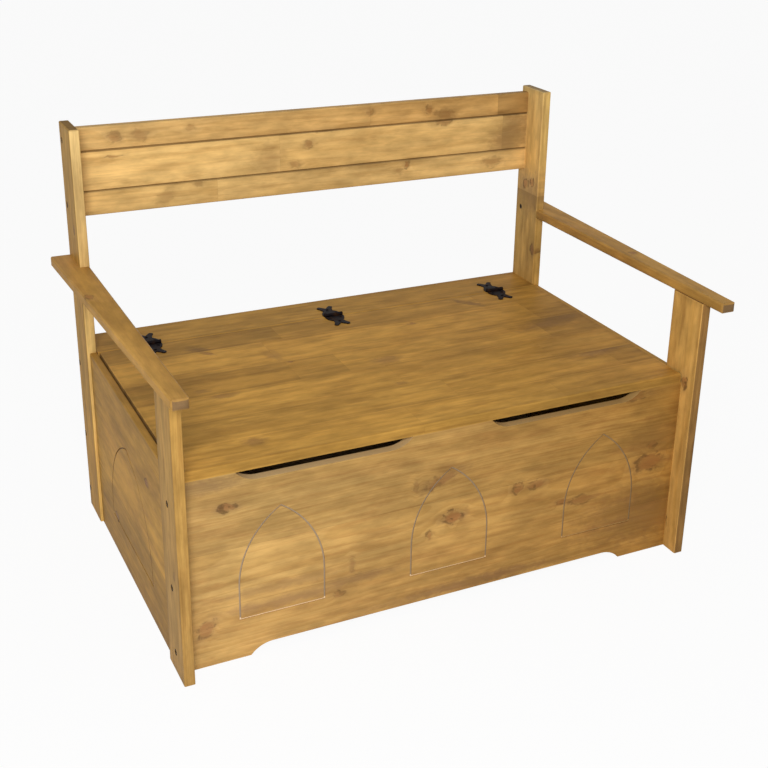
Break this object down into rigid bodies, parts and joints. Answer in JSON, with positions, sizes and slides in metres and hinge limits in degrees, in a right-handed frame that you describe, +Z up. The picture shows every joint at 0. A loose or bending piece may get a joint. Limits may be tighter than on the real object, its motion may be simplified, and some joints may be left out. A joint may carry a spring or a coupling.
{
  "type": "storage bench",
  "caption": "Wooden settle bench with arms, an open board back and a storage box under a hinged lid seat.",
  "frame": {"origin": "middle of the bench's outline on the floor", "axes": "+Z up, +Y towards the back, +X to the right seen from the front"},
  "size_m": [1.1594, 0.766, 0.855],
  "materials": {
    "post_pine": "satin wax",
    "arm_pine": "satin wax",
    "back_pine": "satin wax",
    "panel_pine": "satin wax",
    "rear_pine": "satin wax",
    "side_pine": "satin wax",
    "seat_pine": "satin wax",
    "inner_pine": "satin wax",
    "floor_plywood": "unfinished",
    "beech_dowel": "unfinished",
    "black_iron": "black, slightly rough",
    "bronzed_steel": "dark bronze",
    "plain_steel": "zinc plated"
  },
  "bodies": {
    "bench": {"rear_post_left": "post_pine", "rear_post_right": "post_pine", "front_leg_left": "post_pine", "front_leg_right": "post_pine", "arm_left": "arm_pine", "arm_right": "arm_pine", "back_board_top": "back_pine", "back_board_middle": "back_pine", "back_board_bottom": "back_pine", "front_panel": "panel_pine", "rear_panel": "rear_pine", "side_panel_left": "side_pine", "side_panel_right": "side_pine", "seat_rear_strip": "seat_pine", "seat_bearer_left": "inner_pine", "seat_bearer_right": "inner_pine", "floor_cleat_front": "inner_pine", "floor_cleat_rear": "inner_pine", "floor_cleat_left": "inner_pine", "floor_cleat_right": "inner_pine", "floor_panel": "floor_plywood", "side_dowels": "beech_dowel", "arm_dowels": "beech_dowel", "strip_dowels": "beech_dowel", "hinge_leaf_fixed_left": "black_iron", "hinge_leaf_fixed_middle": "black_iron", "hinge_leaf_fixed_right": "black_iron", "hinge_pins": "black_iron", "panel_bolts": "bronzed_steel", "back_bolts": "bronzed_steel", "arm_bolts": "bronzed_steel", "barrel_nuts": "plain_steel"},
    "lid": {"lid_stave_1": "seat_pine", "lid_stave_2": "seat_pine", "lid_stave_3": "seat_pine", "lid_stave_4": "seat_pine", "lid_stave_5": "seat_pine", "lid_stave_6": "seat_pine", "lid_batten_left": "inner_pine", "lid_batten_right": "inner_pine", "hinge_leaf_lid_left": "black_iron", "hinge_leaf_lid_middle": "black_iron", "hinge_leaf_lid_right": "black_iron"}
  },
  "joints": [
    {"name": "lid_hinge", "type": "hinge", "parent": "bench", "child": "lid", "pos_m": [0, 0.2795, 0.4023], "axis": [-1, 0, 0], "range_deg": [0, 100]}
  ]
}
